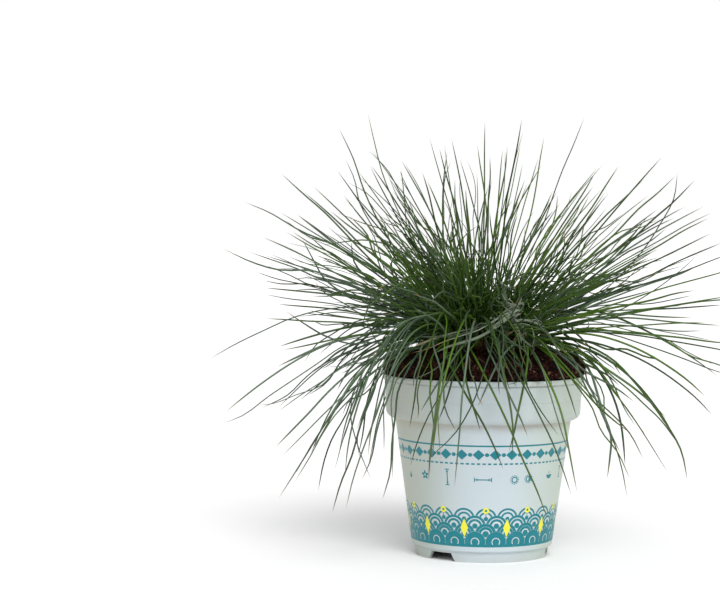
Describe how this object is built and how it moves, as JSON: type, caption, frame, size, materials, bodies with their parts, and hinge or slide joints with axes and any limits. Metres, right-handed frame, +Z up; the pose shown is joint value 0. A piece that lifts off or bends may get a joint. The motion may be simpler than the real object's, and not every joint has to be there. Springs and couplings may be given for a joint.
{
  "type": "potted blue fescue clump",
  "caption": "Clump of fine blue-green needle leaves standing in a mound of potting mix, in a round white nursery pot with a stepped collar and a notched foot.",
  "frame": {"origin": "on the pot's axis, at the surface it stands on", "axes": "+Z up, -Y towards the front, which is the side that the wilted shoot lies on; +X to the viewer's right"},
  "size_m": [0.2736, 0.2571, 0.22],
  "materials": {
    "pot_plastic": "satin",
    "potting_mix": "matte",
    "leaf": "satin",
    "wilted_leaf": "matte"
  },
  "bodies": {
    "root": {"pot": "pot_plastic", "soil": "potting_mix", "shoot_01": "leaf", "shoot_02": "leaf", "shoot_03": "leaf", "shoot_04": "leaf", "shoot_05": "leaf", "shoot_06": "leaf", "shoot_07": "leaf", "shoot_08": "leaf", "shoot_09": "leaf", "shoot_10": "leaf", "shoot_11": "leaf", "shoot_12": "leaf", "shoot_13": "leaf", "shoot_14": "leaf", "shoot_15": "leaf", "shoot_16": "leaf", "shoot_17": "leaf", "shoot_18": "leaf", "shoot_19": "leaf", "shoot_20": "leaf", "shoot_21": "leaf", "shoot_22": "leaf", "shoot_23": "leaf", "shoot_24": "leaf", "shoot_25": "leaf", "shoot_26": "leaf", "shoot_27": "leaf", "shoot_28": "leaf", "shoot_29": "leaf", "shoot_30": "leaf", "shoot_31": "leaf", "shoot_32": "leaf", "shoot_33": "leaf", "shoot_34": "leaf", "shoot_35": "leaf", "shoot_36": "leaf", "shoot_37": "leaf", "shoot_38": "leaf", "shoot_39": "leaf", "shoot_40": "leaf", "shoot_41": "leaf", "shoot_42": "leaf", "shoot_43": "leaf", "shoot_44": "leaf", "shoot_45": "leaf", "shoot_46": "leaf", "shoot_47": "leaf", "shoot_48": "leaf", "shoot_49": "leaf", "shoot_50": "leaf", "shoot_51": "leaf", "shoot_52": "leaf", "shoot_53": "leaf", "shoot_54": "leaf", "shoot_55": "leaf", "wilted_shoot": "wilted_leaf"}
  },
  "joints": []
}
